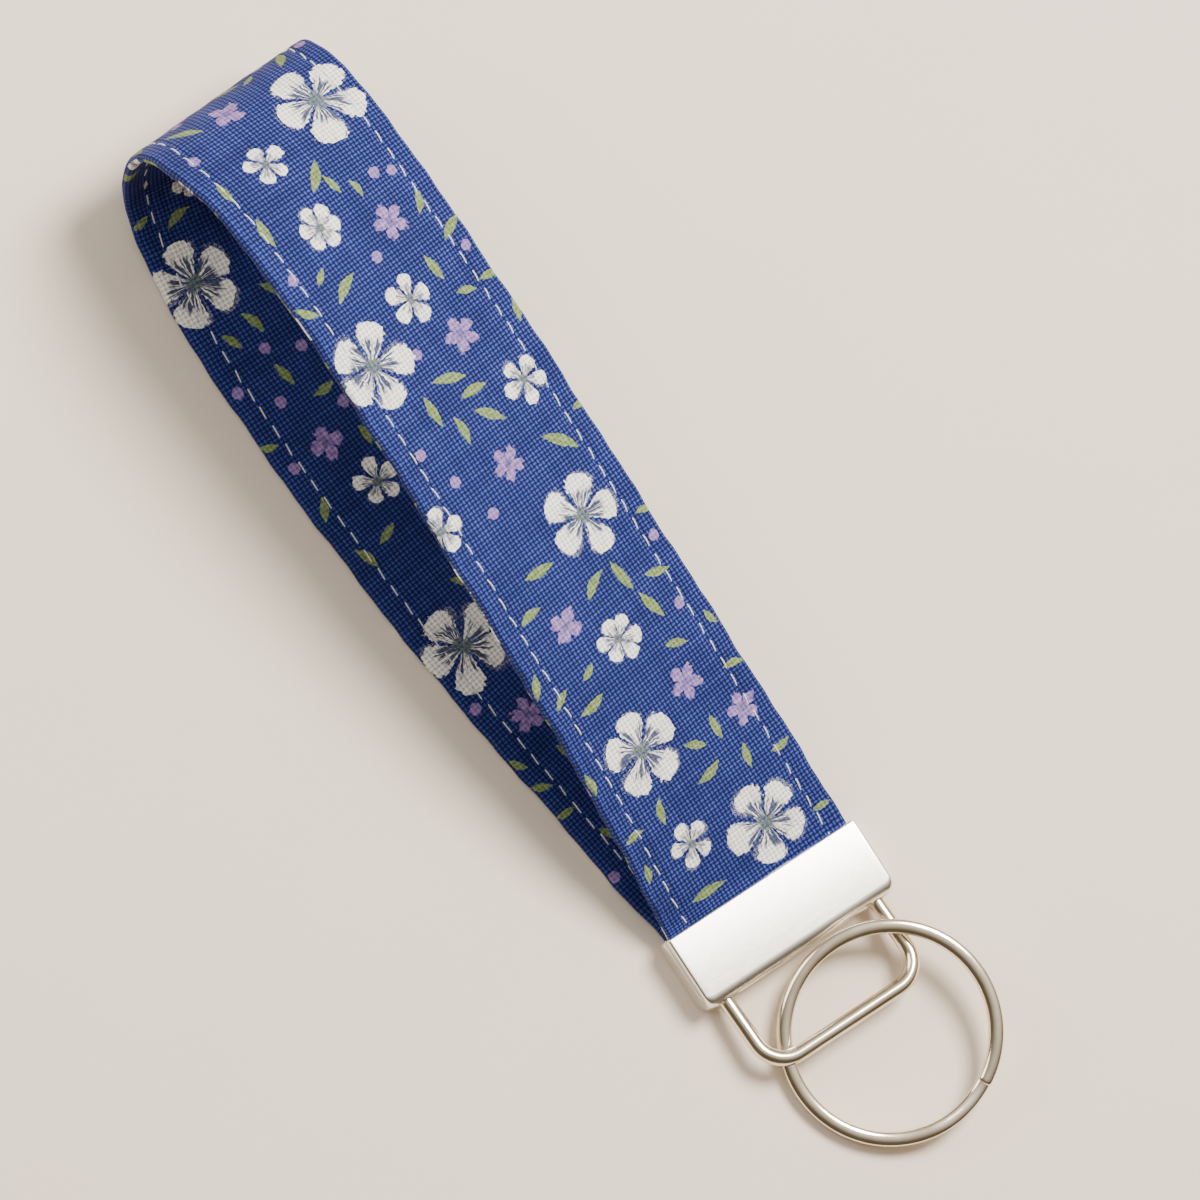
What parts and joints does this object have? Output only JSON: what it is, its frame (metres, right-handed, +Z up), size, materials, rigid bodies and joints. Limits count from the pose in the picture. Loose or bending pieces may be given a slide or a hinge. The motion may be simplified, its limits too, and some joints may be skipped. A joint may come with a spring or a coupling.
{
  "type": "wristlet keychain",
  "caption": "Fabric wrist strap folded into a hand loop, crimped in a metal clamp with a hinged wire loop and a split key ring.",
  "frame": {"origin": "centre of the clamp's rear plate, on the surface that the keychain lies on", "axes": "+Y from the clamp along the strap to the far end of the hand loop, +Z up out of the clamp's front plate, +X to the right across the strap"},
  "size_m": [0.0472, 0.1833, 0.036],
  "materials": {
    "printed_cotton": "plain-weave cotton, cobalt blue with a small floral print",
    "webbing": "woven cotton webbing, natural",
    "thread": "spun sewing thread, off-white",
    "clamp_nickel": "satin nickel plate",
    "wire_nickel": "bright nickel plate",
    "ring_nickel": "bright nickel plate"
  },
  "bodies": {
    "strap_and_clamp": {"strap_cover": "printed_cotton", "strap_core": "webbing", "needle_thread_left": "thread", "needle_thread_right": "thread", "bobbin_thread_left": "thread", "bobbin_thread_right": "thread", "clamp_shell": "clamp_nickel"},
    "wire_loop": {"wire_loop": "wire_nickel"},
    "split_ring": {"split_ring": "ring_nickel"}
  },
  "joints": [
    {"name": "loop_swing", "type": "hinge", "parent": "strap_and_clamp", "child": "wire_loop", "pos_m": [0, -0.0038, 0.0032], "axis": [-1, 0, 0], "range_deg": [-26, 13]},
    {"name": "ring_spin", "type": "hinge", "parent": "wire_loop", "child": "split_ring", "pos_m": [0.0043, -0.0229, 0.00439], "axis": [-0.1811, -0.0629, 0.9815], "continuous": true}
  ]
}
